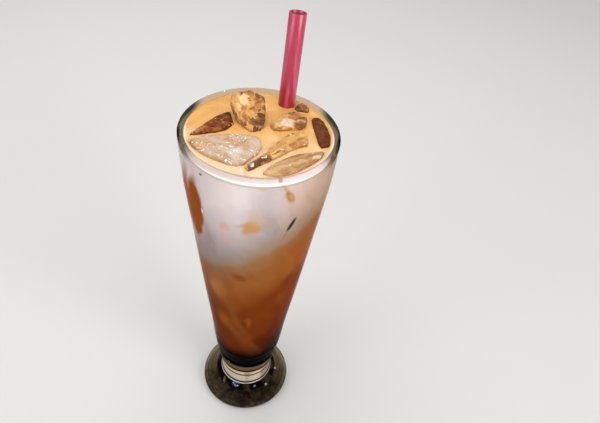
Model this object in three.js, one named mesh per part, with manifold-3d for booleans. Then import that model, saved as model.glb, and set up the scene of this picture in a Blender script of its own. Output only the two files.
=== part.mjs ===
import * as THREE from "three";
import { mergeVertices } from "three/addons/utils/BufferGeometryUtils.js";
import Module from "manifold-3d";

// Iced milk coffee in a tall footed glass, with ice and a straw.
// Millimetres, +Z up, the glass's axis on Z, the side that the drinker faces on -Y.
const weldDistance = 1e-4;
const tiny = 1e-3;

// Glass: height and outer radius up the foot, the waist and the bowl
const footRadius = 30;
const footRound = 3;
const footSlope = [
  [7.6, 24.5],
  [9.8, 20.2],
  [13, 17.6],
];
const waistFlare = [
  [18, 16.5],
  [24, 17.2],
  [35, 19.1],
];
const bowlFlare = [
  [48.8, 21.5],
  [76.5, 24.3],
  [104, 27.6],
  [132, 30.8],
  [160, 33.9],
  [187, 36.9],
  [203, 38.1],
];
const rimHeight = 215;
const rimRadius = 38.5;
const lipWidth = 3;
const baseWall = 3.6;
const cavityFloor = 47;
const floorRound = 5;
const glassSides = 56;
const footEdgeSteps = 5;
const lipSteps = 6;
const cornerSteps = 4;
const footCurveSteps = 12;
const bowlCurveSteps = 8;
const boreSteps = 10;

// Drink: the heights of its layers, and the slope and waves where milk meets coffee
const drinkLevel = 212.8;
const foamDepth = 3.2;
const milkBottom = 159;
const milkTilt = 0.75;
const milkWaves = [
  { turns: 2, shift: 1, height: 3 },
  { turns: 5, shift: 0, height: 1.8 },
];
const coffeeWallTop = 120;
const milkWallLow = 187;
const coffeeWallSteps = 4;
const milkWallSteps = 2;
const waveRings = 4;
const levelRings = 2;
const clearance = 0.3;

// Straw: where its axis crosses the drink's surface, and how it leans per millimetre of height
const strawRadius = 4.3;
const strawWall = 0.5;
const strawAt = [12.7, 27.5];
const strawLean = [0.035, 0.105];
const strawTop = 258.6;
const strawEnd = 51;
const strawSides = 28;

// Ice: slabs that lie at the drink's surface, each with the origin of its upper face, the face's slope and
// turn in degrees, the thickness below the face, and the face's outline from that origin
const iceBevel = 1;
const iceBevelSteps = 2;
const icePieces = [
  {
    name: "ice_upright",
    at: [-3.7, -0.2, 213],
    slope: 36,
    turn: 10,
    thickness: 8,
    outline: [
      ...[[-6.8, 20.8], [-2.4, 21.5], [3.1, 21.3], [7.6, 19.6], [7.8, 15], [7.6, 9.6], [6.9, 5.5]],
      ...[[4.8, 1.6], [3.2, -2], [-1.2, -2], [-1.9, 1.2], [-3.6, 3.6], [-5.8, 7], [-7.5, 11.6]],
      ...[[-8.6, 15.7], [-8.4, 18.6]],
    ],
  },
  {
    name: "ice_left_wedge",
    at: [0, 0, 214],
    thickness: 12,
    outline: [
      ...[[-32.2, -6.3], [-28.6, -0.4], [-25, 5.7], [-20.7, 11.4], [-16.8, 14.6], [-14.9, 15.2], [-14, 10.5]],
      ...[[-12.8, 5.4], [-14.4, 2.2], [-16.4, -0.4], [-20.4, -2.8], [-24, -3.8], [-28, -5.4]],
    ],
  },
  {
    name: "ice_front_left",
    at: [0, 0, 214.4],
    thickness: 13,
    outline: [
      ...[[-32, -11.6], [-29.6, -9.4], [-23.7, -6.6], [-17.5, -5.4], [-13.4, -4.2], [-8.6, -4.5]],
      ...[[-4.4, -4.2], [-0.9, -5], [1, -8], [1.3, -12.4], [-0.3, -16.9], [-3.6, -21.8], [-6.4, -25.6]],
      ...[[-9.7, -27.2], [-13.2, -26.4], [-17.3, -24.7], [-21.5, -22.6], [-25.9, -19.3], [-29.8, -15.4]],
    ],
  },
  {
    name: "ice_centre_right",
    at: [0, 0, 215],
    thickness: 12,
    outline: [
      ...[[3.9, 4.5], [5.1, 7.9], [7.2, 11], [11.2, 15.2], [15.2, 17.8], [18.4, 18], [21.2, 16.8]],
      ...[[22.6, 14.6], [22.8, 11.3], [21.8, 7], [19.6, 4.2], [15.1, 3.8], [9.6, 2.2], [5.7, 2.4]],
    ],
  },
  {
    name: "ice_back_small",
    at: [0, 0, 214.6],
    thickness: 8,
    outline: [
      ...[[17, 23], [18.4, 25.8], [20.3, 27], [23, 25.2], [24.2, 22.2], [23.3, 20.2], [20.5, 20.8], [18, 21]],
    ],
  },
  {
    name: "ice_right",
    at: [0, 0, 213.8],
    thickness: 12,
    outline: [
      ...[[25, 14.2], [26.7, 15.8], [29.2, 15.4], [31.2, 12.2], [32.8, 6.6], [33.8, 0], [33.4, -6.2]],
      ...[[32.8, -8], [31.2, -8.8], [28.8, -9.6], [27.6, -6.5], [26.6, -0.1], [25.5, 7.6]],
    ],
  },
  {
    name: "ice_diagonal",
    at: [0, 0, 214.4],
    thickness: 10,
    outline: [
      ...[[-5.9, -28], [-3.4, -24.6], [0, -20.8], [3.2, -17.2], [4.2, -13.8], [6.9, -10], [10.3, -5.4]],
      ...[[14, -0.9], [17, 0.6], [20.8, 1.4], [22.6, -1], [23, -5.2], [22.2, -8.8], [18, -10.7]],
      ...[[13.6, -14.2], [9.5, -18.2], [5.4, -22], [1.5, -25], [-1.8, -28.4], [-4.2, -30.2]],
    ],
  },
  {
    name: "ice_front_right",
    at: [0, 0, 214],
    thickness: 9,
    outline: [
      ...[[2.2, -31.2], [4.4, -27.3], [7.9, -23], [11.9, -19.6], [16.6, -16.5], [21.2, -15], [25.3, -13.7]],
      ...[[28.4, -12.4], [30.2, -13], [28.6, -17.1], [25.5, -21], [21.8, -24.7], [17.2, -28.8], [13, -31.3]],
      ...[[8.8, -32.7], [4.8, -32.4]],
    ],
  },
];

const glassLook = new THREE.MeshStandardMaterial({
  color: "#c9c6bd",
  roughness: 0.05,
  transparent: true,
  opacity: 0.35,
});
const coffeeLook = new THREE.MeshStandardMaterial({ color: "#6e3611", roughness: 0.25 });
const milkLook = new THREE.MeshStandardMaterial({ color: "#d6cdd0", roughness: 0.3 });
const foamLook = new THREE.MeshStandardMaterial({ color: "#f7d295", roughness: 0.55 });
const iceLook = new THREE.MeshStandardMaterial({ color: "#d9b98a", roughness: 0.1 });
const strawLook = new THREE.MeshStandardMaterial({ color: "#b5304a", roughness: 0.3 });

const wasm = await Module();
wasm.setup();

// A geometry's shared vertices merged and its flat triangles dropped, as a solid for cutting
function toSolid(geometry) {
  const bare = geometry.clone();
  bare.deleteAttribute("normal");
  bare.deleteAttribute("uv");
  const merged = mergeVertices(bare, weldDistance);
  const index = merged.index.array;
  const triangles = [];
  for (let i = 0; i < index.length; i += 3) {
    const [a, b, c] = index.slice(i, i + 3);
    if (a !== b && b !== c && c !== a) triangles.push(a, b, c);
  }
  return new wasm.Manifold(
    new wasm.Mesh({
      numProp: 3,
      vertProperties: new Float32Array(merged.attributes.position.array),
      triVerts: new Uint32Array(triangles),
    }),
  );
}

function toGeometry(solid) {
  const mesh = solid.getMesh();
  const geometry = new THREE.BufferGeometry();
  geometry.setAttribute("position", new THREE.BufferAttribute(mesh.vertProperties, 3));
  geometry.setIndex(new THREE.BufferAttribute(mesh.triVerts, 1));
  geometry.computeVertexNormals();
  return geometry;
}

// A profile of radius and height turned about Z
function turned(profile, sides) {
  return new THREE.LatheGeometry(profile, sides).rotateX(Math.PI / 2);
}

function arc(x, y, radius, from, to, steps) {
  const points = [];
  for (let i = 0; i <= steps; i++) {
    const angle = THREE.MathUtils.degToRad(from + ((to - from) * i) / steps);
    points.push(new THREE.Vector2(x + radius * Math.cos(angle), y + radius * Math.sin(angle)));
  }
  return points;
}

// Glass outline from the foot's rounded edge up to the lip
const footEdge = arc(footRadius - footRound, footRound, footRound, -90, 60, footEdgeSteps);
const lip = arc(rimRadius - lipWidth / 2, rimHeight - lipWidth / 2, lipWidth / 2, 0, 180, lipSteps);
const toPoint = ([z, r]) => new THREE.Vector2(r, z);
const footPoints = [...footSlope, ...waistFlare].map(toPoint);
const bowlPoints = bowlFlare.map(toPoint);
const footCurve = new THREE.SplineCurve([footEdge.at(-1), ...footPoints]);
const bowlCurve = new THREE.SplineCurve([footPoints.at(-1), ...bowlPoints, lip[0]]);
const outline = [...footCurve.getPoints(footCurveSteps), ...bowlCurve.getPoints(bowlCurveSteps).slice(1)];

function outerRadius(z) {
  const above = outline.findIndex((point) => point.y > z);
  const high = outline[above];
  const low = outline[above - 1];
  return low.x + ((high.x - low.x) * (z - low.y)) / (high.y - low.y);
}

// Radius of the inner wall, which thins from the base to the lip
const cornerTop = cavityFloor + floorRound;
const wallTop = rimHeight - lipWidth / 2;
function innerRadius(z) {
  const share = (z - cornerTop) / (wallTop - cornerTop);
  return outerRadius(Math.min(z, wallTop - tiny)) - THREE.MathUtils.lerp(baseWall, lipWidth, share);
}

// The cavity's floor from the axis out to the top of its rounded corner, set in from the glass
function cavityCorner(inset) {
  const x = innerRadius(cornerTop) - floorRound;
  const corner = arc(x, cornerTop, floorRound - inset, -90, 0, cornerSteps);
  return [new THREE.Vector2(0, cavityFloor + inset), ...corner];
}

// Points up the inner wall between two heights, without the ends
function wallUp(from, to, steps, inset) {
  const points = [];
  for (let i = 1; i < steps; i++) {
    const z = THREE.MathUtils.lerp(from, to, i / steps);
    points.push(new THREE.Vector2(innerRadius(z) - inset, z));
  }
  return points;
}

// A level surface across the cavity, from the axis out to the wall
function surface(z, rings) {
  const points = [];
  for (let i = 0; i <= rings; i++) {
    points.push(new THREE.Vector2(((innerRadius(z) - clearance) * i) / rings, z));
  }
  return points;
}

// Bends the vertices at one height to the wavy, sloping surface where milk meets coffee
function wave(geometry, height) {
  const position = geometry.attributes.position;
  const vertex = new THREE.Vector3();
  for (let i = 0; i < position.count; i++) {
    vertex.fromBufferAttribute(position, i);
    if (Math.abs(vertex.z - height) > tiny) continue;
    const bearing = Math.atan2(vertex.y, vertex.x);
    const reach = Math.hypot(vertex.x, vertex.y) / innerRadius(height);
    const swells = milkWaves.map((swell) => swell.height * Math.sin(swell.turns * bearing + swell.shift));
    const z = height + milkTilt * vertex.x + reach * swells.reduce((sum, swell) => sum + swell, 0);
    const widen = (innerRadius(z) - clearance) / (innerRadius(height) - clearance);
    position.setXYZ(i, vertex.x * widen, vertex.y * widen, z);
  }
  return geometry;
}

// A slab of ice below its outline, with bevelled edges
function iceGeometry({ outline: corners, thickness }, grow) {
  const shape = new THREE.Shape(corners.map(([x, y]) => new THREE.Vector2(x, y)));
  const geometry = new THREE.ExtrudeGeometry(shape, {
    depth: thickness - 2 * iceBevel + 2 * grow,
    bevelThickness: iceBevel,
    bevelSize: iceBevel,
    bevelOffset: grow - iceBevel,
    bevelSegments: iceBevelSteps,
  });
  return geometry.translate(0, 0, iceBevel - thickness - grow);
}

function place(object, { at, slope = 0, turn = 0 }) {
  const degrees = THREE.MathUtils.degToRad;
  object.position.set(...at);
  object.rotation.set(degrees(slope), 0, degrees(turn), "ZYX");
  object.updateMatrix();
  return object;
}

// Straw: its axis, and its placing from a tube that starts at the origin
const strawDirection = new THREE.Vector3(strawLean[0], strawLean[1], 1).normalize();
const strawLength = (strawTop - strawEnd) / strawDirection.z;
function placeStraw(object, pull) {
  const z = strawEnd - pull;
  const drop = z - drinkLevel;
  object.position.set(strawAt[0] + strawLean[0] * drop, strawAt[1] + strawLean[1] * drop, z);
  object.quaternion.setFromUnitVectors(new THREE.Vector3(0, 0, 1), strawDirection);
  object.updateMatrix();
  return object;
}

const strawProfile = [
  new THREE.Vector2(strawRadius - strawWall, 0),
  new THREE.Vector2(strawRadius, 0),
  new THREE.Vector2(strawRadius, strawLength),
  new THREE.Vector2(strawRadius - strawWall, strawLength),
  new THREE.Vector2(strawRadius - strawWall, 0),
];
const strawCutProfile = [
  new THREE.Vector2(0, 0),
  new THREE.Vector2(strawRadius + clearance, 0),
  new THREE.Vector2(strawRadius + clearance, strawLength),
  new THREE.Vector2(0, strawLength),
];
const strawGap = placeStraw(new THREE.Mesh(turned(strawCutProfile, strawSides)), clearance);

// What the drink is cut round: every ice piece and the straw, each with its clearance
const iceGaps = icePieces.map((piece) => place(new THREE.Mesh(iceGeometry(piece, clearance)), piece));
const gaps = [...iceGaps, strawGap].map((gap) => {
  return toSolid(gap.geometry.clone().applyMatrix4(gap.matrix));
});

function cutRound(geometry) {
  const solid = gaps.reduce((rest, gap) => rest.subtract(gap), toSolid(geometry));
  return toGeometry(solid);
}

const part = new THREE.Group();
function add(name, geometry, look) {
  const mesh = new THREE.Mesh(geometry, look);
  mesh.name = name;
  part.add(mesh);
  return mesh;
}

// Glass, in one piece
const bore = [...cavityCorner(0), ...wallUp(cornerTop, wallTop, boreSteps, 0)].reverse();
const glassProfile = [new THREE.Vector2(0, 0), ...footEdge, ...outline.slice(1), ...lip.slice(1), ...bore];
add("glass", turned(glassProfile, glassSides), glassLook);

// Coffee, milk and foam, one above the other
const foamBottom = drinkLevel - foamDepth;
const milkTop = foamBottom - clearance;
const coffeeTop = milkBottom - clearance;
const coffeeProfile = [
  ...cavityCorner(clearance),
  ...wallUp(cornerTop, coffeeWallTop, coffeeWallSteps, clearance),
  ...surface(coffeeTop, waveRings).reverse(),
];
add("coffee", cutRound(wave(turned(coffeeProfile, glassSides), coffeeTop)), coffeeLook);

const milkProfile = [
  ...surface(milkBottom, waveRings),
  ...wallUp(milkWallLow, milkTop, milkWallSteps, clearance),
  ...surface(milkTop, levelRings).reverse(),
];
add("milk", cutRound(wave(turned(milkProfile, glassSides), milkBottom)), milkLook);

const foamProfile = [...surface(foamBottom, levelRings), ...surface(drinkLevel, levelRings).reverse()];
add("foam", cutRound(turned(foamProfile, glassSides)), foamLook);

for (const piece of icePieces) place(add(piece.name, iceGeometry(piece, 0), iceLook), piece);

placeStraw(add("straw", turned(strawProfile, strawSides), strawLook), 0);

export default part;
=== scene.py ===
import math
import random
import bpy
from mathutils import Matrix, Vector


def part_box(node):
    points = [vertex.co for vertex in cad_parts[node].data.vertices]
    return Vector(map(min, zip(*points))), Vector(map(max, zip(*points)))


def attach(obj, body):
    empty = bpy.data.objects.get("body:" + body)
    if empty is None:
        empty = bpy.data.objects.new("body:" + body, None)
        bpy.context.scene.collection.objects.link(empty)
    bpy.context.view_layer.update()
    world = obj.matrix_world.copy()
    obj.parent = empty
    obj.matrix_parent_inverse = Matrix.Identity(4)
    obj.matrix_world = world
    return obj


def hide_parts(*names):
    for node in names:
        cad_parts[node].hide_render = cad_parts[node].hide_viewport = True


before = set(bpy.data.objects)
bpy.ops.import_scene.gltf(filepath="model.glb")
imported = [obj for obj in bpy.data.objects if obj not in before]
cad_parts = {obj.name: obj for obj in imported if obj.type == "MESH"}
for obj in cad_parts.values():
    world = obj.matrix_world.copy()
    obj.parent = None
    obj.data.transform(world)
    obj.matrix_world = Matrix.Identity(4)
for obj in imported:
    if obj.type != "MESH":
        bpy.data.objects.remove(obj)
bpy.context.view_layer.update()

mm = 0.001
weldGap = 1e-5  # metres between points that count as one
smoothAngle = math.radians(40)  # faces that meet at less than this are shaded smooth


# modelling by hand: selection, curves, turned profiles
def clearSelection():
    if bpy.context.object and bpy.context.object.mode != "OBJECT":
        bpy.ops.object.mode_set(mode="OBJECT")
    bpy.ops.object.select_all(action="DESELECT")


def pick(piece):
    clearSelection()
    bpy.context.view_layer.objects.active = piece
    piece.select_set(True)


def selectWhere(piece, test):  # vertices chosen by their place
    bpy.ops.mesh.select_all(action="DESELECT")
    bpy.ops.object.mode_set(mode="OBJECT")
    for vertex in piece.data.vertices:
        vertex.select = test(vertex.co)
    bpy.ops.object.mode_set(mode="EDIT")
    bpy.ops.mesh.select_mode(type="VERT")


def smoothCurve(points, steps):  # an even curve through the points
    ends = [points[0]] + list(points) + [points[-1]]
    curve = []
    for i in range(1, len(ends) - 2):
        p0, p1, p2, p3 = [Vector(p) for p in ends[i - 1:i + 3]]
        for step in range(steps):
            t = step / steps
            curve.append(0.5 * (2 * p1 + (p2 - p0) * t + (2 * p0 - 5 * p1 + 4 * p2 - p3) * t ** 2
                                + (3 * p1 - p0 - 3 * p2 + p3) * t ** 3))
    curve.append(Vector(points[-1]))
    return [(p.x, p.y) for p in curve]


def arcPoints(x, y, radius, start, end, steps):
    angles = [math.radians(start + (end - start) * i / steps) for i in range(steps + 1)]
    return [(x + radius * math.cos(a), y + radius * math.sin(a)) for a in angles]


def turnProfile(name, profile, sides):  # radius and height pairs, in metres, turned about Z
    poleRadius = 2e-5
    ring = [(max(r, poleRadius), z) for r, z in profile]
    clearSelection()
    bpy.ops.mesh.primitive_circle_add(vertices=sides, radius=ring[0][0], location=(0, 0, ring[0][1]))
    piece = bpy.context.object
    piece.name = piece.data.name = name
    bpy.ops.object.transform_apply(location=True, rotation=True, scale=True)
    bpy.ops.object.mode_set(mode="EDIT")
    bpy.ops.mesh.select_all(action="SELECT")
    for (r, z), (nextR, nextZ) in zip(ring, ring[1:]):
        bpy.ops.mesh.extrude_region_move(TRANSFORM_OT_translate={"value": (0, 0, nextZ - z)})
        bpy.ops.transform.resize(value=(nextR / r, nextR / r, 1), center_override=(0, 0, nextZ))
    bpy.ops.mesh.select_all(action="SELECT")
    bpy.ops.mesh.remove_doubles(threshold=weldGap)
    for end in (profile[0], profile[-1]):
        if end[0] < poleRadius:
            selectWhere(piece, lambda co: math.hypot(co.x, co.y) < 2 * poleRadius
                        and abs(co.z - end[1]) < weldGap)
            bpy.ops.mesh.merge(type="CENTER")
    bpy.ops.mesh.select_all(action="SELECT")
    bpy.ops.mesh.normals_make_consistent(inside=False)
    bpy.ops.object.mode_set(mode="OBJECT")
    bpy.ops.object.shade_smooth_by_angle(angle=smoothAngle)
    return piece


def copyPiece(piece, name):
    pick(piece)
    bpy.ops.object.duplicate()
    copy = bpy.context.object
    copy.name = copy.data.name = name
    return copy


def applyModifier(piece, kind, **settings):
    pick(piece)
    modifier = piece.modifiers.new(kind.lower(), kind)
    for key, value in settings.items():
        setattr(modifier, key, value)
    bpy.ops.object.modifier_apply(modifier=modifier.name)


# material nodes
def paint(red, green, blue):  # a colour as a picker shows it, 0 to 255
    def linear(value):
        value /= 255
        return value / 12.92 if value <= 0.04045 else ((value + 0.055) / 1.055) ** 2.4
    return (linear(red), linear(green), linear(blue), 1)


def makeMaterial(name, **sockets):
    material = bpy.data.materials.new(name)
    material.use_nodes = True
    shader = material.node_tree.nodes["Principled BSDF"]
    for socket, value in sockets.items():
        shader.inputs[socket.replace("_", " ")].default_value = value
    return material, shader


def addNode(material, kind, sockets=None, **settings):
    node = material.node_tree.nodes.new("ShaderNode" + kind)
    for key, value in settings.items():
        setattr(node, key, value)
    for socket, value in (sockets or {}).items():
        if isinstance(value, bpy.types.NodeSocket):
            material.node_tree.links.new(value, node.inputs[socket])
        else:
            node.inputs[socket].default_value = value
    return node


def joinSocket(material, output, shader, socket):
    material.node_tree.links.new(output, shader.inputs[socket])


def objectPlace(material):
    return addNode(material, "TexCoord").outputs["Object"]


def calculate(material, operation, first, second):
    return addNode(material, "Math", {0: first, 1: second}, operation=operation).outputs[0]


def mixColour(material, amount, first, second, blend="MIX"):
    return addNode(material, "Mix", {0: amount, 6: first, 7: second}, data_type="RGBA",
                   blend_type=blend).outputs[2]


def faded(material, amount, strength):
    return calculate(material, "MULTIPLY", amount, strength)


def paintOver(material, amount, colour, hue):  # hue as a picker shows it
    return mixColour(material, amount, colour, paint(*hue))


def colourRamp(material, amount, stops):
    node = addNode(material, "ValToRGB", {"Fac": amount})
    ramp = node.color_ramp
    while len(ramp.elements) < len(stops):
        ramp.elements.new(1.0)
    for element, (position, colour) in zip(ramp.elements, stops):
        element.position = position
    for element, (position, colour) in zip(ramp.elements, stops):
        element.color = colour
    return node.outputs["Color"]


def mask(material, amount, low, high):  # 0 at low and 1 at high, either of them the larger
    return addNode(material, "MapRange", {"Value": amount, "From Min": low, "From Max": high},
                   interpolation_type="SMOOTHSTEP").outputs["Result"]


def zone(material, amount, ends):  # a mask between two places in millimetres
    return mask(material, amount, ends[0] * mm, ends[1] * mm)


def axisDistance(material, place):  # how far a place is from the glass's axis
    flat = addNode(material, "Mapping", {"Vector": place, "Scale": (1, 1, 0)}).outputs[0]
    return addNode(material, "VectorMath", {0: flat}, operation="LENGTH").outputs["Value"]


def noisePattern(material, place, scale, stretch=(1, 1, 1), turn=(0, 0, 0), detail=3.0, twist=0.0):
    mapping = addNode(material, "Mapping", {"Vector": place, "Scale": stretch, "Rotation": turn})
    return addNode(material, "TexNoise", {"Vector": mapping.outputs[0], "Scale": scale, "Detail": detail,
                                          "Distortion": twist})


def bumpFrom(material, height, strength, distance):
    sockets = {"Height": height, "Strength": strength, "Distance": distance}
    return addNode(material, "Bump", sockets).outputs[0]


def warpPlace(material, place, scale, amount):  # a place pushed about by soft noise
    noise = noisePattern(material, place, scale, detail=2.0).outputs["Color"]
    shift = addNode(material, "VectorMath", {0: noise, 1: (0.5, 0.5, 0.5)}, operation="SUBTRACT").outputs[0]
    scaled = addNode(material, "VectorMath", {0: shift, "Scale": amount}, operation="SCALE").outputs[0]
    return addNode(material, "VectorMath", {0: place, 1: scaled}, operation="ADD").outputs[0]


def blot(material, place, centre, half, turn, edge):  # a soft round mark; edge 0 is hard
    start = 0.02
    sockets = {"Vector": place, "Location": centre, "Rotation": turn, "Scale": half}
    mapping = addNode(material, "Mapping", sockets, vector_type="TEXTURE")
    ball = addNode(material, "TexGradient", {"Vector": mapping.outputs[0]}, gradient_type="SPHERICAL")
    return mask(material, ball.outputs["Fac"], start, start + edge)


def roundSpot(material, place, at, half, edge, bearing=0):  # a blot given in millimetres and degrees
    turn = (0, 0, math.radians(bearing))
    return blot(material, place, Vector(at) * mm, Vector(half) * mm, turn, edge)


# the glass
glassSize = {  # millimetres; height and outer radius, but radius and height on the underside
    "foot": 30, "footRound": 3,
    "footSlope": [(7.6, 24.5), (9.8, 20.2), (13, 17.6)],
    "waist": [(18, 16.5), (24, 17.2), (35, 19.1)],
    "bowl": [(48.8, 21.5), (76.5, 24.3), (104, 27.6), (132, 30.8), (160, 33.9), (187, 36.9), (203, 38.1)],
    "underside": [(0, 1.2), (20, 1.2), (24.5, 0.3), (25.5, 0)],
    "rim": 38.5, "height": 215, "lip": 3, "baseWall": 3.6, "floor": 47, "floorRound": 5,
    "boreSteps": 24, "sides": 144,
}


def radiusFirst(pairs):
    return [(r, z) for z, r in pairs]


def glassOutline():  # outer side from the foot's edge to the lip, in millimetres
    g = glassSize
    footEdge = arcPoints(g["foot"] - g["footRound"], g["footRound"], g["footRound"], -90, 60, 9)
    lip = arcPoints(g["rim"] - g["lip"] / 2, g["height"] - g["lip"] / 2, g["lip"] / 2, 0, 180, 12)
    footCurve = smoothCurve([footEdge[-1]] + radiusFirst(g["footSlope"] + g["waist"]), 6)
    bowlCurve = smoothCurve([footCurve[-1]] + radiusFirst(g["bowl"]) + [lip[0]], 4)
    return footEdge, footCurve[1:] + bowlCurve[1:-1], lip


footEdge, outerSide, lipEdge = glassOutline()
cornerTop = glassSize["floor"] + glassSize["floorRound"]
wallTop = glassSize["height"] - glassSize["lip"] / 2


def outerRadius(z):
    points = outerSide + [lipEdge[0]]
    for (r, low), (nextR, high) in zip(points, points[1:]):
        if low <= z <= high:
            return r + (nextR - r) * (z - low) / (high - low)
    return lipEdge[0][0]


def innerRadius(z):  # the wall thins from the base to the lip
    share = (z - cornerTop) / (wallTop - cornerTop)
    wall = glassSize["baseWall"] + (glassSize["lip"] - glassSize["baseWall"]) * share
    return outerRadius(z) - wall


def innerWall(top, steps, reach):  # cavity from its floor's middle up to a height, pushed into the glass
    corner = arcPoints(innerRadius(cornerTop) - glassSize["floorRound"], cornerTop,
                       glassSize["floorRound"] + reach(cornerTop), -90, 0, 8)
    heights = [cornerTop + (top - cornerTop) * i / steps for i in range(1, steps + 1)]
    side = [(innerRadius(z) + reach(z), z) for z in heights]
    return [(0, glassSize["floor"] - reach(cornerTop))] + corner + side


def metres(profile):
    return [(r * mm, z * mm) for r, z in profile]


bore = innerWall(wallTop, glassSize["boreSteps"], lambda z: 0)[::-1]
glassProfile = glassSize["underside"] + footEdge + outerSide + lipEdge + bore[1:]
glassBody = turnProfile("glassBody", metres(glassProfile), glassSize["sides"])

glassLook = {  # names ending in From or Top say where a look fades, in millimetres; in Cut, from a noise
    "edgeTint": (0.62, 0.58, 0.46, 1), "density": 14.0, "ior": 1.03, "gloss": (0.05, 0.05, 0.05, 1),
    "bands": [  # painted reflections and dark refractions of the waist and base: height in millimetres, tint, and 1 where the glass is clear, up from the foot
        (8.8, (7, 5, 4), 0), (13.0, (7, 5, 4), 0), (13.3, (206, 198, 190), 0),
        (13.6, (206, 198, 190), 0), (13.9, (14, 11, 9), 0), (15.0, (14, 11, 9), 0),
        (15.5, (176, 160, 148), 0), (19, (188, 174, 166), 0), (22.3, (190, 168, 142), 0),
        (22.8, (18, 14, 10), 0), (24.2, (18, 14, 10), 0), (24.8, (206, 184, 156), 0),
        (28.4, (196, 172, 138), 0), (29.0, (24, 19, 14), 0), (31.2, (24, 19, 14), 0),
        (32.0, (98, 82, 60), 0), (36.8, (92, 77, 56), 0), (38.2, (5, 4, 3), 0),
        (50, (5, 4, 3), 0), (51, (8, 5, 4), 1), (55, (120, 84, 64), 1), (62, (255, 255, 255), 1)],
    "streak": (60, 50, 38), "streakScale": 95.0, "streakStretch": (1, 1, 0.12), "streakCut": (0.48, 0.68),
    "streakStrength": 0.55, "streakTop": (36, 30),
    # the foot's smoky tint is a painted refraction of a dark surface, and its back half is lighter from
    # painted light
    "foot": (36, 30, 22), "footTop": (8.8, 9.6), "mottle": (100, 86, 64), "mottleScale": 190.0,
    "mottleCut": (0.38, 0.66), "paintedLightBehind": (150, 130, 98), "paintedLightBehindFrom": (-12, 14), "paintedLightBehindStrength": 0.85,
    "shade": (8, 6, 5), "shadePlace": ((-2, -24, 5), (9, 8, 9), 0.9),  # place, half size, edge
    "shadeStrength": 0.7, "ring": (12, 10, 8), "ringRate": 2600.0, "ringCut": (0.3, 1.0),
    "ringFrom": (23.5, 25.5), "ringStrength": 0.6, "under": (255, 255, 255), "underTop": (2.2, 1.0),
    # the lip's lavender and tan hues are painted reflections, its darker sides a painted shade
    "lip": (210, 195, 198), "lipFrom": (212.6, 213.6), "lipEdgeFrom": (209.8, 212.0),
    "lipBackReflection": (226, 198, 166), "lipBackReflectionFrom": (2, 16), "lipSidesShade": (74, 64, 48), "lipSidesShadeFrom": (28.5, 34),
    "paintedGlints": [  # painted glints and reflections: place and half size in millimetres, and hue
        ((-6.5, -17.2, 12.0), (3.2, 2.4, 2.6), (132, 156, 196)),
        ((14.9, -15.1, 9.2), (1.3, 1.1, 1.2), (206, 200, 192)),
        ((7.2, -17.9, 10.9), (1.2, 0.9, 1.0), (160, 178, 208)),
        ((-14.6, -13.0, 10.5), (1.0, 2.6, 2.0), (150, 116, 94)),
        ((11.5, -15.0, 33.8), (0.9, 0.9, 0.9), (246, 232, 216)),
        ((-11.5, -16.1, 39.2), (0.7, 0.9, 2.0), (214, 186, 164)),
        ((21.2, -2.2, 9.2), (1.1, 1.1, 1.1), (236, 222, 208))],
    "glintGrain": 1500.0, "glintCut": (0.49, 0.60), "glintEdge": 0.3,
    "drop": (150, 104, 70), "dropPlace": ((9.9, -36.6, 214.3), (1.6, 1.6, 1.6), 0.6),
}


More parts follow.
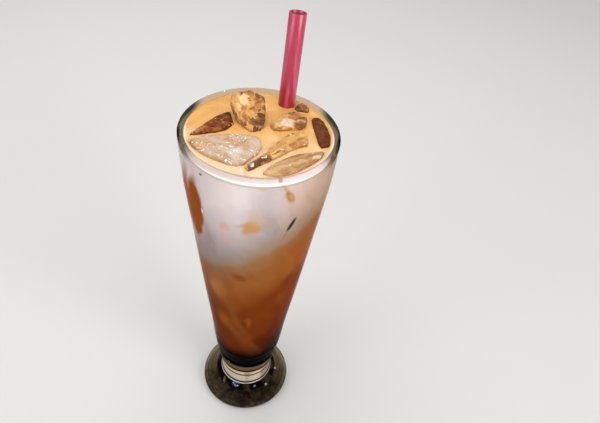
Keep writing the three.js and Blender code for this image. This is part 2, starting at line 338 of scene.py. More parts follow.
def glassMaterial():
    look = glassLook
    material, shader = makeMaterial("clearGlass", Roughness=0.0, IOR=look["ior"], Specular_Tint=look["gloss"])
    absorb = addNode(material, "VolumeAbsorption", {"Color": look["edgeTint"], "Density": look["density"]})
    joinSocket(material, absorb.outputs[0], material.node_tree.nodes["Material Output"], "Volume")
    place = objectPlace(material)
    split = addNode(material, "SeparateXYZ", {0: place})
    height = split.outputs["Z"]
    # the bands paint reflections and dark refractions onto the waist and base
    low, top = look["bands"][0][0], look["bands"][-1][0]
    rise = calculate(material, "SUBTRACT", height, low * mm)
    share = calculate(material, "DIVIDE", rise, (top - low) * mm)
    stops = [((z - low) / (top - low), paint(*hue), (bare, bare, bare, 1)) for z, hue, bare in look["bands"]]
    tint = colourRamp(material, share, [(at, hue) for at, hue, bare in stops])
    clear = colourRamp(material, share, [(at, bare) for at, hue, bare in stops])
    # dark streaks round the waist, as in thick glass, over the painted reflection bands
    circling = noisePattern(material, place, look["streakScale"], look["streakStretch"]).outputs["Fac"]
    streak = faded(material, mask(material, circling, *look["streakCut"]), look["streakStrength"])
    streak = faded(material, streak, zone(material, height, look["streakTop"]))
    tint = paintOver(material, streak, tint, look["streak"])
    # smoky, mottled foot with turned rings, clear under; the smoky tint is a painted refraction of a dark
    # surface, its back half is lighter from painted light and its front has a painted shade
    blotch = noisePattern(material, place, look["mottleScale"], detail=5.0, twist=0.8).outputs["Fac"]
    blotch = mask(material, blotch, *look["mottleCut"])
    foot = paintOver(material, blotch, paint(*look["foot"]), look["mottle"])
    paintedLightBehind = faded(material, zone(material, split.outputs["Y"], look["paintedLightBehindFrom"]), look["paintedLightBehindStrength"])
    foot = paintOver(material, paintedLightBehind, foot, look["paintedLightBehind"])
    shade = roundSpot(material, place, *look["shadePlace"])
    foot = paintOver(material, faded(material, shade, look["shadeStrength"]), foot, look["shade"])
    radius = axisDistance(material, place)
    wave = calculate(material, "SINE", faded(material, radius, look["ringRate"]), 0.0)
    ring = faded(material, mask(material, wave, *look["ringCut"]), zone(material, radius, look["ringFrom"]))
    foot = paintOver(material, faded(material, ring, look["ringStrength"]), foot, look["ring"])
    foot = paintOver(material, zone(material, height, look["underTop"]), foot, look["under"])
    aboveFoot = zone(material, height, look["footTop"])
    tint = mixColour(material, aboveFoot, foot, tint)
    clear = mixColour(material, aboveFoot, (1, 1, 1, 1), clear)
    # painted reflections on the lip, lavender in front and tan behind, with a painted shade darker at its
    # sides
    tint = paintOver(material, zone(material, height, look["lipFrom"]), tint, look["lip"])
    lip = zone(material, height, look["lipEdgeFrom"])
    lipBackReflection = faded(material, lip, zone(material, split.outputs["Y"], look["lipBackReflectionFrom"]))
    tint = paintOver(material, lipBackReflection, tint, look["lipBackReflection"])
    aside = calculate(material, "ABSOLUTE", split.outputs["X"], 0.0)
    lipSidesShade = faded(material, lip, zone(material, aside, look["lipSidesShadeFrom"]))
    tint = paintOver(material, lipSidesShade, tint, look["lipSidesShade"])
    # painted glints on the foot and the waist, and a drop on the lip
    grain = noisePattern(material, place, look["glintGrain"], detail=2.0).outputs["Fac"]
    broken = mask(material, grain, *look["glintCut"])
    for at, half, hue in look["paintedGlints"]:
        spot = faded(material, roundSpot(material, place, at, half, look["glintEdge"]), broken)
        tint = paintOver(material, spot, tint, hue)
        clear = mixColour(material, spot, clear, (0, 0, 0, 1))
    tint = paintOver(material, roundSpot(material, place, *look["dropPlace"]), tint, look["drop"])
    joinSocket(material, tint, shader, "Base Color")
    joinSocket(material, clear, shader, "Transmission Weight")
    return material


clearGlass = glassMaterial()
glassBody.data.materials.append(clearGlass)
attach(glassBody, "root")
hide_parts("glass")
print("glass turned:", len(glassBody.data.polygons), "faces")


# coffee and milk
drinkSize = {  # millimetres; the drink reaches a little way into the glass wall, less at the rim
    "level": 212.8, "foam": 3.2, "milkBottom": 159, "milkTilt": 0.75, "sides": 128, "steps": 40,
    "reach": 2.2, "rimReach": 0.15, "fade": (195, 207), "markDepth": 12,
}
level = drinkSize["level"]
foamBottom = level - drinkSize["foam"]


def reachAt(z):
    low, high = drinkSize["fade"]
    share = min(max((high - z) / (high - low), 0), 1)
    more = drinkSize["reach"] - drinkSize["rimReach"]
    return drinkSize["rimReach"] + more * share * share * (3 - 2 * share)


def wallPlace(bearing, z):  # a place on the drink's side, bearing 0 at +X and -90 at the front
    r = (innerRadius(z) + reachAt(z)) * mm
    return (r * math.cos(math.radians(bearing)), r * math.sin(math.radians(bearing)), z * mm)


def sideMark(material, place, bearing, z, width, height, lean, edge):
    half = (drinkSize["markDepth"] * mm, width * mm, height * mm)
    turn = (math.radians(lean), 0, math.radians(bearing))
    return blot(material, place, wallPlace(bearing, z), half, turn, edge)


drinkLook = {
    "bands": [  # height in millimetres at the middle, and colour, from the base up
        (48, (44, 20, 9)), (60, (78, 29, 7)), (75, (98, 40, 9)), (100, (110, 50, 15)), (112, (108, 49, 14)),
        (123, (128, 68, 27)), (135, (140, 84, 40)), (146, (140, 86, 46)), (156, (142, 102, 70)),
        (163, (148, 130, 118)), (170, (160, 147, 143)), (182, (184, 169, 167)), (195, (205, 194, 196)),
        (208, (224, 213, 213))],
    "drift": (45.0, 0.012), "fold": (160.0, 0.003),  # size of the swirls and how far they push
    "streakScale": 55.0, "streakStretch": (1, 1, 0.28), "streakLean": 0.4,
    "streakLight": (214, 150, 84), "lightCut": (0.50, 0.72), "lightStrength": 0.10,
    "streakDark": (96, 44, 12), "darkCut": (0.50, 0.30), "darkStrength": 0.22, "rough": 0.6,
    # painted light warms the right side, painted shade greys the left
    "paintedLightRight": (255, 234, 208), "paintedLightRightFrom": (4, 26), "paintedShadeLeft": (238, 232, 232), "paintedShadeLeftFrom": (-6, -26),
    # the foam's cream edge, painted near white as lit from above
    "creamAndHighlight": (255, 251, 244), "creamAndHighlightEdge": 1.0,
    "shadow": (150, 130, 120), "shadowEdge": (1.9, 1.3), "shadowStrength": 0.4,  # millimetres under the foam
    "marks": [  # bearing, height, width, height of the mark, lean, edge, strength, colour
        (-93.5, 183, 6.4, 6.4, 0, 0.5, 0.9, (190, 140, 86)),
        (-94, 184.8, 11.5, 2.4, 2, 0.7, 0.6, (190, 140, 86)),
        (-90, 189, 10.0, 9.0, -10, 0.95, 0.6, (194, 160, 128)),
        (-146, 179, 8, 25, -6, 0.3, 1.0, (142, 72, 18)),
        (-158, 181, 9, 27, -3, 0.6, 0.95, (140, 70, 16)),
        (-171, 176, 6, 24, 4, 0.9, 0.7, (140, 74, 24)),
        (-184, 182, 4, 20, 6, 0.95, 0.45, (140, 78, 30)),
        (-113, 182, 3.2, 5.0, 10, 0.7, 0.55, (200, 156, 112)),
        (-112, 172, 3.0, 7.0, 25, 0.8, 0.45, (194, 162, 150)),
        (-131.7, 204.8, 1.6, 1.2, 20, 0.5, 0.8, (120, 80, 60)),
        (-101, 142, 6, 5, 0, 0.9, 0.7, (124, 57, 14)),
        (-130, 124, 9, 16, 0, 0.95, 0.8, (172, 110, 60)),
        (-124, 92, 8, 15, 10, 0.95, 0.8, (150, 76, 26)),
        (-50, 136, 5, 9, -20, 0.9, 0.75, (92, 38, 8)),
        (-90, 96, 1.9, 9, 6, 0.5, 0.6, (138, 76, 30)),
        (-99, 94, 4.5, 3.5, 0, 0.9, 0.5, (84, 30, 2)),
        (-86, 76, 4, 15, -4, 0.9, 0.55, (124, 60, 20)),
        (-60, 100, 1.5, 8, 30, 0.8, 0.4, (130, 70, 28)),
    ],
    "slitsAndGlint": [  # the same, with straight edges; the last is a painted glint
        (-61, 183.6, 1.5, 6.3, -22, 0.5, 0.95, (34, 34, 24)),
        (-65, 176.0, 0.8, 6.0, -22, 0.8, 0.5, (110, 100, 84)),
        # a painted glint
        (-134, 184, 0.8, 2.2, 0, 0.5, 0.8, (240, 232, 226)),
    ],
    "drips": [  # the same, over the foam's edge
        (-67.5, 205.4, 1.4, 5.4, 36, 0.6, 0.65, (184, 142, 92)),
        (-63.3, 202.0, 3.2, 4.0, 36, 0.6, 0.8, (164, 108, 50)),
        (-62.6, 202.2, 1.6, 2.0, 36, 0.8, 0.6, (204, 156, 92)),
        (-86, 207.2, 4.0, 0.9, 0, 0.6, 0.7, (206, 160, 108)),
    ],
}


def addMarks(material, place, colour, marks):
    for bearing, z, width, height, lean, edge, strength, hue in marks:
        shape = sideMark(material, place, bearing, z, width, height, lean, edge)
        colour = paintOver(material, faded(material, shape, strength), colour, hue)
    return colour


def drinkMaterial():
    look = drinkLook
    material, shader = makeMaterial("layeredCoffee", Roughness=look["rough"], Specular_IOR_Level=0.0)
    place = objectPlace(material)
    drift = warpPlace(material, place, *look["drift"])
    fold = warpPlace(material, drift, *look["fold"])
    split = addNode(material, "SeparateXYZ", {0: fold})
    # the layers rise to the right
    slope = calculate(material, "MULTIPLY", split.outputs["X"], drinkSize["milkTilt"])
    along = calculate(material, "SUBTRACT", split.outputs["Z"], slope)
    low, high = look["bands"][0][0] * mm, look["bands"][-1][0] * mm
    share = calculate(material, "DIVIDE", calculate(material, "SUBTRACT", along, low), high - low)
    stops = [((z * mm - low) / (high - low), paint(*hue)) for z, hue in look["bands"]]
    colour = colourRamp(material, share, stops)
    # rising streaks where milk sinks into the coffee
    turn = (0, look["streakLean"], 0)
    leaning = addNode(material, "Mapping", {"Vector": drift, "Rotation": turn}).outputs[0]
    streak = noisePattern(material, leaning, look["streakScale"], look["streakStretch"], detail=5.0,
                          twist=0.6).outputs["Fac"]
    lighter = paintOver(material, look["lightStrength"], colour, look["streakLight"])
    colour = mixColour(material, mask(material, streak, *look["lightCut"]), colour, lighter)
    darker = mixColour(material, look["darkStrength"], colour, paint(*look["streakDark"]), "MULTIPLY")
    colour = mixColour(material, mask(material, streak, *look["darkCut"]), colour, darker)
    # painted light warms the drink on the right and painted shade greys it on the left
    for hue, ends in ((look["paintedLightRight"], look["paintedLightRightFrom"]), (look["paintedShadeLeft"], look["paintedShadeLeftFrom"])):
        tinted = mixColour(material, 1.0, colour, paint(*hue), "MULTIPLY")
        colour = mixColour(material, zone(material, split.outputs["X"], ends), colour, tinted)
    colour = addMarks(material, fold, colour, look["marks"])
    colour = addMarks(material, place, colour, look["slitsAndGlint"])
    # a painted shadow line under the foam, and the cream edge of the foam under the rim, painted brighter as
    # lit from above
    height = addNode(material, "SeparateXYZ", {0: place}).outputs["Z"]
    shadow = zone(material, height, [foamBottom - under for under in look["shadowEdge"]])
    colour = paintOver(material, faded(material, shadow, look["shadowStrength"]), colour, look["shadow"])
    creamAndHighlight = zone(material, height, (foamBottom - look["creamAndHighlightEdge"], foamBottom))
    colour = paintOver(material, creamAndHighlight, colour, look["creamAndHighlight"])
    colour = addMarks(material, fold, colour, look["drips"])
    joinSocket(material, colour, shader, "Base Color")
    return material


layeredCoffee = drinkMaterial()

drinkProfile = innerWall(foamBottom, drinkSize["steps"], reachAt) + [(0, foamBottom)]
coffeeLayer = turnProfile("coffeeLayer", metres(drinkProfile), drinkSize["sides"])
coffeeLayer.data.materials.append(layeredCoffee)
milkLayer = copyPiece(coffeeLayer, "milkLayer")
meetingPoint = (0, 0, drinkSize["milkBottom"] * mm)
meetingNormal = (-drinkSize["milkTilt"], 0, 1)
for layer, keepUpper in ((coffeeLayer, False), (milkLayer, True)):
    pick(layer)
    bpy.ops.object.mode_set(mode="EDIT")
    bpy.ops.mesh.select_all(action="SELECT")
    bpy.ops.mesh.bisect(plane_co=meetingPoint, plane_no=meetingNormal, use_fill=True,
                        clear_inner=keepUpper, clear_outer=not keepUpper)
    bpy.ops.object.mode_set(mode="OBJECT")
print("coffee and milk layered:", len(coffeeLayer.data.polygons), len(milkLayer.data.polygons), "faces")


# foam on top
foamSize = {  # millimetres; the edge climbs the glass from a share of the radius outward
    "rings": 14, "sides": 128, "sink": 0.2, "overlap": 0.05,
    "climb": 0.5, "climbStart": 0.93, "climbWidth": 0.07, "topTilt": 0.3,
}
edgeRadius = innerRadius(level) + reachAt(level)
foamTop = []
for i in range(foamSize["rings"] + 1):
    share = 1 - i / foamSize["rings"]
    climb = foamSize["climb"] * max(0, (share - foamSize["climbStart"]) / foamSize["climbWidth"]) ** 2
    foamTop.append((edgeRadius * share, level - foamSize["sink"] + climb))
foamUnder = foamBottom - foamSize["overlap"]
foamProfile = [(0, foamUnder), (innerRadius(foamBottom) + reachAt(foamBottom), foamUnder)] + foamTop
foamLayer = turnProfile("foamLayer", metres(foamProfile), foamSize["sides"])

foamLook = {
    "back": (218, 164, 90), "front": (230, 200, 162), "frontFrom": (6, -30),
    "swirl": (90.0, 0.006), "swirlScale": 70.0, "swirlTurn": (0, 0, 0.6), "rough": 0.45, "ior": 1.34,
    "brown": (192, 132, 64), "brownCut": (0.52, 0.75), "brownStrength": 0.35,
    "pale": (238, 206, 164), "paleCut": (0.48, 0.25), "paleStrength": 0.6,
    "edge": (250, 236, 218), "edgeIn": (1.6, 0.2), "edgeFrom": (14, -4), "edgeStrength": 0.8,
    "bubble": 1100.0, "bubbleCut": (0.35, 0.1), "bubbleStrength": 0.10,
    "grain": 1500.0, "bump": (0.35, 0.0006),
}


def foamMaterial():
    look = foamLook
    material, shader = makeMaterial("tanFoam", Roughness=look["rough"], IOR=look["ior"])
    place = objectPlace(material)
    soft = warpPlace(material, place, *look["swirl"])
    depth = addNode(material, "SeparateXYZ", {0: soft}).outputs["Y"]
    front = zone(material, depth, look["frontFrom"])
    colour = paintOver(material, front, paint(*look["back"]), look["front"])
    swirl = noisePattern(material, soft, look["swirlScale"], turn=look["swirlTurn"], detail=4.0,
                         twist=1.2).outputs["Fac"]
    brown = faded(material, mask(material, swirl, *look["brownCut"]), look["brownStrength"])
    colour = paintOver(material, brown, colour, look["brown"])
    pale = faded(material, mask(material, swirl, *look["paleCut"]), look["paleStrength"])
    colour = paintOver(material, pale, colour, look["pale"])
    # a pale ring along the front edge
    ring = zone(material, axisDistance(material, place), [edgeRadius - back for back in look["edgeIn"]])
    ring = faded(material, ring, zone(material, depth, look["edgeFrom"]))
    colour = paintOver(material, faded(material, ring, look["edgeStrength"]), colour, look["edge"])
    # fine bubbles, in colour and in relief
    bubbles = addNode(material, "TexVoronoi", {"Vector": place, "Scale": look["bubble"]}).outputs["Distance"]
    grain = noisePattern(material, place, look["grain"], detail=2.0).outputs["Fac"]
    dots = faded(material, mask(material, bubbles, *look["bubbleCut"]), look["bubbleStrength"])
    colour = paintOver(material, dots, colour, look["brown"])
    joinSocket(material, colour, shader, "Base Color")
    relief = calculate(material, "ADD", bubbles, grain)
    joinSocket(material, bumpFrom(material, relief, *look["bump"]), shader, "Normal")
    return material


tanFoam = foamMaterial()
foamLayer.data.materials.append(tanFoam)
foamLayer.data.materials.append(layeredCoffee)
for face in foamLayer.data.polygons:  # its side belongs to the layered drink
    face.material_index = 0 if face.normal.z > foamSize["topTilt"] else 1
print("foam laid:", len(foamLayer.data.polygons), "faces")


# ice
iceLook = {  # hues; patches, facets and frost flecks, partly painted glints; how the piece lies, its chips and its melting; rim is a painted shade where it leaves the foam
    # marks: place and half size in millimetres, bearing, edge, strength, hue
    "ice_upright": dict(
        light=(218, 160, 90), mid=(172, 112, 52), dark=(112, 62, 22), line=(240, 198, 134),
        frostGlint=(255, 252, 246), pocket=(190, 126, 60), patch=170.0, stretch=(1, 0.5, 1), tilt=(0.1, 0.0),
        facet=0.9, cell=300.0, flecks=0.2, glintFleck=900.0, clear=0.25, rough=0.06, gloss=0.5, rim=0.45,
        slope=36, turn=10, chips=9, chip=(0.3, 1.0), melt=0.5, seed=3,
        # the first two marks are painted highlights
        marks=[((-8.5, 12.1, 222.4), (3.0, 3.6, 4.0), 20, 0.3, 0.9, (250, 210, 154)),
               ((-10.9, 8.8, 220.4), (1.4, 2.6, 2.6), 30, 0.4, 0.8, (246, 202, 142)),
               ((-5.0, 6.8, 218.6), (2.8, 2.2, 3.0), 20, 0.6, 0.7, (226, 170, 96)),
               ((-0.8, 13.8, 222.7), (4.2, 5.0, 4.0), -30, 0.8, 0.7, (122, 68, 26)),
               ((0.0, 4.6, 216.2), (3.8, 4.4, 4.0), 0, 0.6, 0.8, (112, 60, 22))]),
    "ice_left_wedge": dict(
        light=(146, 82, 38), mid=(110, 56, 22), dark=(80, 36, 10), line=(124, 66, 28),
        frostGlint=(206, 164, 126), pocket=(140, 76, 32), patch=330.0, stretch=(0.7, 1, 1), tilt=(0.5, 0.1),
        facet=0.2, cell=300.0, flecks=1.4, glintFleck=1000.0, clear=0.0, rough=0.42, gloss=0.08, rim=0.6,
        slope=0, turn=38, chips=0, chip=(0.4, 0.8), melt=0.5, seed=5,
        marks=[((-28.5, -2.6, 214.0), (6.0, 2.2, 3.0), 50, 0.9, 0.45, (190, 146, 104))]),
    "ice_front_left": dict(
        light=(206, 182, 162), mid=(202, 166, 126), dark=(186, 140, 92), line=(230, 214, 202),
        frostGlint=(255, 253, 250), pocket=(236, 204, 164), patch=190.0, stretch=(0.6, 1, 1), tilt=(-0.3, 0.2),
        facet=0.3, cell=300.0, flecks=1.7, glintFleck=900.0, clear=0.25, rough=0.1, gloss=0.5, rim=0.12,
        slope=0, turn=-20, chips=0, chip=(0.6, 1.2), melt=1.1, seed=8,
        marks=[((-10.0, -18.5, 214.4), (6.0, 4.5, 4.0), -20, 0.8, 0.7, (230, 218, 212)),
               ((-2.5, -10.6, 214.4), (4.5, 5.0, 4.0), 0, 0.8, 0.5, (224, 200, 178)),
               ((-23.4, -13.2, 214.4), (0.9, 0.7, 2.0), 0, 0.4, 0.8, (130, 84, 44)),
               ((-24.0, -15.5, 214.4), (6.5, 3.6, 4.0), -20, 0.9, 0.6, (202, 158, 108))]),
    "ice_centre_right": dict(
        light=(232, 188, 122), mid=(194, 138, 70), dark=(136, 80, 34), line=(240, 206, 150),
        frostGlint=(255, 252, 246), pocket=(210, 150, 78), patch=210.0, stretch=(0.8, 1, 1), tilt=(0.5, 0.0),
        facet=0.5, cell=260.0, flecks=0.35, glintFleck=700.0, clear=0.25, rough=0.06, gloss=0.5, rim=0.4,
        slope=0, turn=28, chips=6, chip=(0.5, 1.1), melt=0.6, seed=13,
        marks=[((12.9, 6.8, 215.0), (4.4, 4.2, 4.0), 20, 0.45, 0.95, (238, 212, 186)),
               ((20.2, 6.6, 215.0), (2.4, 2.6, 4.0), 0, 0.6, 0.85, (140, 82, 36)),
               ((18.6, 15.0, 215.0), (3.2, 2.6, 4.0), 0, 0.7, 0.6, (196, 142, 86)),
               ((17.4, 9.6, 215.0), (0.7, 2.6, 4.0), -30, 0.5, 0.8, (110, 60, 24)),
               ((10.0, 3.0, 214.4), (4.0, 0.8, 2.0), 8, 0.6, 0.7, (130, 78, 34))]),
    "ice_back_small": dict(
        light=(150, 102, 62), mid=(120, 76, 42), dark=(84, 46, 20), line=(164, 118, 76),
        frostGlint=(255, 252, 246), pocket=(160, 104, 58), patch=330.0, stretch=(1, 1, 1), tilt=(0.0, 0.0),
        facet=0.3, cell=330.0, flecks=0.1, glintFleck=900.0, clear=0.0, rough=0.25, gloss=0.25, rim=0.6,
        slope=0, turn=-25, chips=0, chip=(0.4, 0.8), melt=0.4, seed=17,
        marks=[((18.0, 22.2, 214.6), (1.4, 1.8, 2.0), 0, 0.5, 0.9, (70, 36, 14))]),
    "ice_right": dict(
        light=(108, 58, 28), mid=(94, 48, 22), dark=(80, 38, 15), line=(100, 54, 26),
        frostGlint=(170, 116, 76), pocket=(140, 82, 42), patch=420.0, stretch=(1, 1, 1), tilt=(0.0, 0.0),
        facet=0.1, cell=330.0, flecks=0.06, glintFleck=800.0, clear=0.0, rough=0.4, gloss=0.12, rim=0.5,
        slope=0, turn=98, chips=0, chip=(0.3, 0.7), melt=0.35, seed=21,
        marks=[]),
    "ice_diagonal": dict(
        light=(236, 188, 118), mid=(206, 152, 86), dark=(172, 114, 58), line=(246, 210, 150),
        frostGlint=(255, 252, 246), pocket=(204, 148, 80), patch=190.0, stretch=(0.35, 1, 1), tilt=(0.0, -0.2),
        facet=0.25, cell=240.0, flecks=0.35, glintFleck=620.0, clear=0.25, rough=0.08, gloss=0.4, rim=0.3,
        slope=0, turn=47, chips=0, chip=(0.5, 1.2), melt=0.7, seed=25,
        marks=[((0.0, -25.2, 214.2), (9.8, 2.0, 4.0), 47, 0.35, 0.95, (98, 50, 20)),
               ((9.0, -16.4, 214.2), (5.0, 0.9, 4.0), 47, 0.5, 0.8, (128, 74, 34)),
               # the last three marks are painted glints
               ((-2.6, -27.1, 214.2), (1.4, 0.7, 2.0), 30, 0.3, 1.0, (250, 244, 236)),
               ((3.0, -21.5, 214.2), (1.6, 0.7, 2.0), 40, 0.3, 1.0, (244, 230, 212)),
               ((9.8, -14.2, 214.2), (1.6, 0.6, 2.0), 47, 0.4, 0.8, (250, 226, 184))]),
    "ice_front_right": dict(
        light=(222, 180, 128), mid=(192, 148, 94), dark=(158, 108, 60), line=(236, 206, 164),
        frostGlint=(255, 252, 246), pocket=(222, 180, 128), patch=300.0, stretch=(0.08, 1, 1), tilt=(0.2, 0.0),
        facet=0.0, cell=260.0, flecks=0.25, glintFleck=620.0, clear=0.25, rough=0.1, gloss=0.35, rim=0.15,
        slope=0, turn=33, chips=0, chip=(0.4, 0.9), melt=0.6, seed=29,
        marks=[((26.0, -17.6, 214.0), (3.2, 1.6, 3.0), 33, 0.5, 0.7, (252, 226, 190)),
               ((28.2, -14.2, 214.0), (2.4, 1.0, 3.0), 15, 0.6, 0.7, (190, 140, 92))]),
}

iceGrain = {  # shared by the pieces; a pair of scale and push warps a place
    "ior": 1.31, "soft": (260.0, 0.004), "crisp": (520.0, 0.0012), "ragged": (420.0, 0.0045),
    "tones": (0.34, 0.50, 0.66), "facetShare": 0.5, "leanShare": 0.25,
    "lineWidth": 0.05, "lineLeast": 0.3, "lineMore": 0.4, "foamContactShade": (0.9, 0.1),
    "fleckFrom": 0.73, "fleckMore": 0.06, "fleckEdge": 0.04, "fleckRise": 0.4, "cluster": 150.0,
    "clusterCut": (0.42, 0.56), "ripple": 420.0, "bump": (0.4, 0.0012),
    "pocketScale": 260.0, "pocketCut": (0.4, 0.65), "pocketRough": 0.6,
}


def iceMaterial(name, look, low, high):
    material, shader = makeMaterial(name + "_ice", Roughness=look["rough"], IOR=iceGrain["ior"],
                                    Specular_IOR_Level=look["gloss"])
    place = objectPlace(material)
    centre, half = (low + high) / 2, (high - low) / 2
    turn = (math.radians(look["slope"]), 0, math.radians(look["turn"]))
    local = addNode(material, "Mapping", {"Vector": place, "Location": centre, "Rotation": turn},
                    vector_type="TEXTURE").outputs[0]
    soft = warpPlace(material, local, *iceGrain["soft"])
    crisp = warpPlace(material, local, *iceGrain["crisp"])
    # cloudy patches and flat facets make the tone, which shifts along the piece
    cloud = noisePattern(material, soft, look["patch"], look["stretch"], detail=4.0, twist=0.8).outputs["Fac"]
    cells = addNode(material, "TexVoronoi", {"Vector": crisp, "Scale": look["cell"]})
    facet = addNode(material, "SeparateColor", {0: cells.outputs["Color"]}).outputs[0]
    facet = calculate(material, "SUBTRACT", facet, 0.5)
    facet = faded(material, facet, look["facet"] * iceGrain["facetShare"])
    split = addNode(material, "SeparateXYZ", {0: soft})
    reach = max(half.x, half.y)
    across = faded(material, split.outputs["X"], look["tilt"][0] / reach)
    along = faded(material, split.outputs["Y"], look["tilt"][1] / reach)
    lean = faded(material, calculate(material, "ADD", across, along), iceGrain["leanShare"])
    tone = calculate(material, "ADD", calculate(material, "ADD", cloud, facet), lean)
    hues = [paint(*look[key]) for key in ("light", "mid", "dark")]
    colour = colourRamp(material, tone, list(zip(iceGrain["tones"], hues)))
    # fine bright lines between the facets
    edges = addNode(material, "TexVoronoi", {"Vector": crisp, "Scale": look["cell"]},
                    feature="DISTANCE_TO_EDGE").outputs["Distance"]
    lines = mask(material, edges, iceGrain["lineWidth"], 0.0)
    lines = faded(material, lines, iceGrain["lineLeast"] + iceGrain["lineMore"] * look["facet"])
    colour = paintOver(material, lines, colour, look["line"])
    ragged = warpPlace(material, place, *iceGrain["ragged"])
    for at, size, bearing, edge, strength, hue in look["marks"]:
        spot = roundSpot(material, ragged, at, size, edge, bearing)
        colour = paintOver(material, faded(material, spot, strength), colour, hue)
    # painted shade: a darker edge where the piece leaves the foam
    height = addNode(material, "SeparateXYZ", {0: place}).outputs["Z"]
    foamContactShade = zone(material, height, [level + above for above in iceGrain["foamContactShade"]])
    colour = paintOver(material, faded(material, foamContactShade, look["rim"]), colour, look["dark"])
    # frost flecks in clusters, partly painted glints
    specks = noisePattern(material, crisp, look["glintFleck"], detail=1.0).outputs["Fac"]
    cluster = noisePattern(material, crisp, iceGrain["cluster"], detail=1.0).outputs["Fac"]
    least = iceGrain["fleckFrom"] - iceGrain["fleckMore"] * look["flecks"]
    glintFleck = faded(material, mask(material, specks, least, least + iceGrain["fleckEdge"]),
                  mask(material, cluster, *iceGrain["clusterCut"]))
    colour = paintOver(material, glintFleck, colour, look["frostGlint"])
    joinSocket(material, colour, shader, "Base Color")
    seeThrough = faded(material, calculate(material, "SUBTRACT", 1.0, glintFleck), look["clear"])
    joinSocket(material, seeThrough, shader, "Transmission Weight")
    ripple = noisePattern(material, place, iceGrain["ripple"], twist=0.8).outputs["Fac"]
    relief = calculate(material, "ADD", ripple, faded(material, glintFleck, iceGrain["fleckRise"]))
    joinSocket(material, bumpFrom(material, relief, *iceGrain["bump"]), shader, "Normal")
    return material


def chipFacets(piece, look):  # flat chips off the block's upper side, drawn at random
    draw = random.Random(look["seed"])
    pick(piece)
    for _ in range(look["chips"]):
        normal = Vector((draw.uniform(-1, 1), draw.uniform(-1, 1), draw.uniform(0.1, 1))).normalized()
        far = max(normal.dot(vertex.co) for vertex in piece.data.vertices)
        point = normal * (far - draw.uniform(*look["chip"]) * mm)
        bpy.ops.object.mode_set(mode="EDIT")
        bpy.ops.mesh.select_all(action="SELECT")
        bpy.ops.mesh.bisect(plane_co=point, plane_no=normal, use_fill=True, clear_outer=True)
        bpy.ops.object.mode_set(mode="OBJECT")


def pocketMaterial(name, look):  # what shows through the ice
    material, shader = makeMaterial(name + "_pocket", Roughness=iceGrain["pocketRough"],
                                    Specular_IOR_Level=0.0)
    place = objectPlace(material)
    spots = noisePattern(material, place, iceGrain["pocketScale"], detail=4.0, twist=1.0).outputs["Fac"]
    spots = mask(material, spots, *iceGrain["pocketCut"])
    colour = paintOver(material, spots, paint(*look["pocket"]), look["mid"])
    joinSocket(material, colour, shader, "Base Color")
    return material


iceSize = {"voxel": 0.5, "meltScale": 4.5, "gap": 0.2, "smoothAngle": 35}  # millimetres and degrees
meltShape = bpy.data.textures.new("iceMelt", "CLOUDS")
meltShape.noise_scale = iceSize["meltScale"] * mm

cutters = []
for name, look in iceLook.items():
    low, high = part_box(name)
    piece = bpy.data.objects.new(name + "_clear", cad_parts[name].data.copy())
    bpy.context.scene.collection.objects.link(piece)
    piece.data.name = piece.name
    piece.data.materials.clear()
    pick(piece)
    bpy.ops.object.mode_set(mode="EDIT")
    bpy.ops.mesh.select_all(action="SELECT")
    bpy.ops.mesh.remove_doubles(threshold=weldGap)
    bpy.ops.object.mode_set(mode="OBJECT")
    chipFacets(piece, look)
    applyModifier(piece, "REMESH", mode="VOXEL", voxel_size=iceSize["voxel"] * mm)
    applyModifier(piece, "DISPLACE", texture=meltShape, texture_coords="LOCAL", strength=look["melt"] * mm,
                  mid_level=0.5)
    pick(piece)
    bpy.ops.object.shade_smooth_by_angle(angle=math.radians(iceSize["smoothAngle"]))
    cutter = copyPiece(piece, name + "_cutter")
    bpy.ops.object.mode_set(mode="EDIT")
    bpy.ops.mesh.select_all(action="SELECT")
    bpy.ops.transform.shrink_fatten(value=-iceSize["gap"] * mm)
    bpy.ops.object.mode_set(mode="OBJECT")
    cutter.data.materials.append(pocketMaterial(name, look))
    cutters.append(cutter)
    piece.data.materials.append(iceMaterial(name, look, low, high))
    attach(piece, "root")
    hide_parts(name)
    print(name, "melted:", len(piece.data.polygons), "faces")

# pockets for the ice in the foam and the milk
for layer in (foamLayer, milkLayer):
    for cutter in cutters:
        applyModifier(layer, "BOOLEAN", operation="DIFFERENCE", solver="MANIFOLD", object=cutter,
                      material_mode="TRANSFER")
for cutter in cutters:
    bpy.data.objects.remove(cutter)
for layer, nodes, slotName in ((coffeeLayer, "coffee", "coffee"), (milkLayer, "milk", "milk"),
                               (foamLayer, "foam", "foam")):
    pick(layer)
    bpy.ops.object.shade_smooth_by_angle(angle=smoothAngle)
    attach(layer, "root")
    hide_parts(nodes)
print("pockets cut:", len(foamLayer.data.polygons), len(milkLayer.data.polygons), "faces")


# straw
strawSize = {  # millimetres; the place is where it leaves the drink, the lean is sideways for each one up
    "radius": 4.3, "wall": 0.5, "at": (12.7, 27.5), "lean": (0.035, 0.105), "top": 258.6, "end": 51,
    "edge": (0.1, 0.2), "steps": 12, "sides": 64,
}
strawAxis = Vector((*strawSize["lean"], 1)).normalized()
strawLength = (strawSize["top"] - strawSize["end"]) / strawAxis.z
outer, inner = strawSize["radius"], strawSize["radius"] - strawSize["wall"]
inset, rise = strawSize["edge"]
strawSide = [(outer, strawLength * i / strawSize["steps"]) for i in range(1, strawSize["steps"])]
strawTop = [(outer, strawLength - rise), (outer - inset, strawLength), (inner + inset, strawLength),
            (inner, strawLength - rise)]
strawEnd = [(inner, rise), (inner + inset, 0), (outer - inset, 0), (outer, rise)]
strawProfile = [(outer, rise)] + strawSide + strawTop + strawEnd
strawBody = turnProfile("strawBody", metres(strawProfile), strawSize["sides"])
drop = strawSize["end"] - level
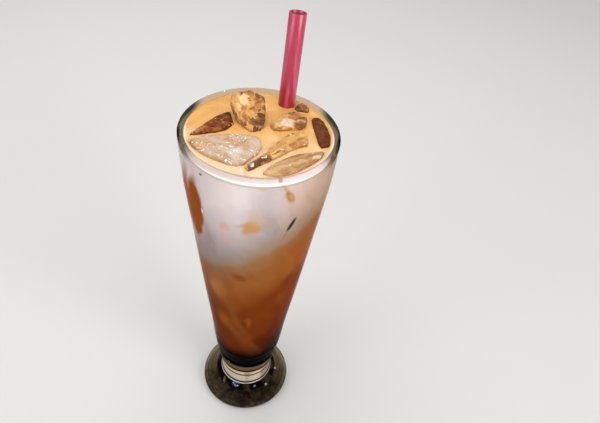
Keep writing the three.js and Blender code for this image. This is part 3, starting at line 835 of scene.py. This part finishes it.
strawBody.rotation_mode = "QUATERNION"
strawBody.rotation_quaternion = Vector((0, 0, 1)).rotation_difference(strawAxis)
strawBody.location = ((strawSize["at"][0] + strawSize["lean"][0] * drop) * mm,
                      (strawSize["at"][1] + strawSize["lean"][1] * drop) * mm, strawSize["end"] * mm)
pick(strawBody)
bpy.ops.object.transform_apply(location=True, rotation=True, scale=True)

strawLook = {
    # the higher, pinker hue is a painted reflection
    "low": (160, 28, 34), "high": (170, 46, 74), "pinkReflectionFrom": (212, 232),
    "streak": (200, 110, 146), "streakCut": (0.45, 0.75), "streakStrength": 0.5,
    "grain": 420.0, "grainStretch": (1, 1, 0.05), "bump": (0.15, 0.0004),
    "rough": 0.28, "ior": 1.48, "coat": 0.2, "coatRough": 0.15,
}


def strawMaterial():
    look = strawLook
    material, shader = makeMaterial("crimsonStraw", Roughness=look["rough"], IOR=look["ior"],
                                    Coat_Weight=look["coat"], Coat_Roughness=look["coatRough"])
    place = objectPlace(material)
    height = addNode(material, "SeparateXYZ", {0: place}).outputs["Z"]
    # pinker higher up: a painted reflection
    colour = paintOver(material, zone(material, height, look["pinkReflectionFrom"]), paint(*look["low"]), look["high"])
    turn = (strawSize["lean"][1], -strawSize["lean"][0], 0)
    grain = noisePattern(material, place, look["grain"], look["grainStretch"], turn).outputs["Fac"]
    streak = faded(material, mask(material, grain, *look["streakCut"]), look["streakStrength"])
    colour = paintOver(material, streak, colour, look["streak"])
    joinSocket(material, colour, shader, "Base Color")
    joinSocket(material, bumpFrom(material, grain, *look["bump"]), shader, "Normal")
    return material


strawBody.data.materials.append(strawMaterial())
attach(strawBody, "root")
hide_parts("straw")
print("straw placed:", len(strawBody.data.polygons), "faces")


# floor, light and camera
studioSet = {  # metres
    "floor": 6.0, "floorDrop": 0.0001, "floorHue": (0.60, 0.595, 0.585, 1), "floorRough": 0.7,
    "sky": (1.0, 0.985, 0.96, 1), "skyStrength": 0.55, "aim": (0, 0, 0.13),
    "softboxes": {  # place, size, watts
        "overhead": ((-0.20, 0.10, 1.15), 0.8, 6.3),
        "frontRight": ((1.76, -1.48, 1.00), 1.5, 44.0),
        "frontLeft": ((-1.88, -1.32, 1.00), 1.5, 21.0),
        "spark": ((-0.12, 0.95, 0.80), 0.10, 1.2),
    },
}
clearSelection()
bpy.ops.mesh.primitive_plane_add(size=studioSet["floor"], location=(0, 0, -studioSet["floorDrop"]))
floor = bpy.context.object
floor.name = "floor"
paleFloor = makeMaterial("paleFloor", Roughness=studioSet["floorRough"], Base_Color=studioSet["floorHue"])[0]
floor.data.materials.append(paleFloor)

world = bpy.data.worlds.new("studio")
bpy.context.scene.world = world
world.use_nodes = True
sky = world.node_tree.nodes["Background"]
sky.inputs["Color"].default_value = studioSet["sky"]
sky.inputs["Strength"].default_value = studioSet["skyStrength"]

aim = Vector(studioSet["aim"])
for name, (place, size, watts) in studioSet["softboxes"].items():
    bpy.ops.object.light_add(type="AREA", location=place)
    softbox = bpy.context.object
    softbox.name = name
    softbox.data.shape = "SQUARE"
    softbox.data.size = size
    softbox.data.energy = watts
    softbox.rotation_euler = (aim - Vector(place)).to_track_quat("-Z", "Y").to_euler()

cameraView = {  # metres, degrees and pixels, fitted to the photo; sensor in millimetres
    "place": (0, -0.21119, 0.35712), "pitch": 42.320, "yaw": 6.491, "roll": 7.803,
    "focal": 533.06, "width": 600, "sensor": 36, "near": 0.01,
}
pitch, yaw, roll = (math.radians(cameraView[key]) for key in ("pitch", "yaw", "roll"))
ahead = Vector((math.sin(yaw) * math.cos(pitch), math.cos(yaw) * math.cos(pitch), -math.sin(pitch)))
side = ahead.cross(Vector((0, 0, 1))).normalized()
above = side.cross(ahead)
cameraX = side * math.cos(roll) + above * math.sin(roll)
cameraY = above * math.cos(roll) - side * math.sin(roll)
bpy.ops.object.camera_add(location=cameraView["place"])
camera = bpy.context.object
turn = Matrix((cameraX, cameraY, -ahead)).transposed()
camera.rotation_euler = turn.to_euler()
camera.data.sensor_width = cameraView["sensor"]
camera.data.lens = cameraView["sensor"] * cameraView["focal"] / cameraView["width"]
camera.data.clip_start = cameraView["near"]
bpy.context.scene.camera = camera
bpy.context.scene.view_settings.view_transform = "Standard"
print("studio set")
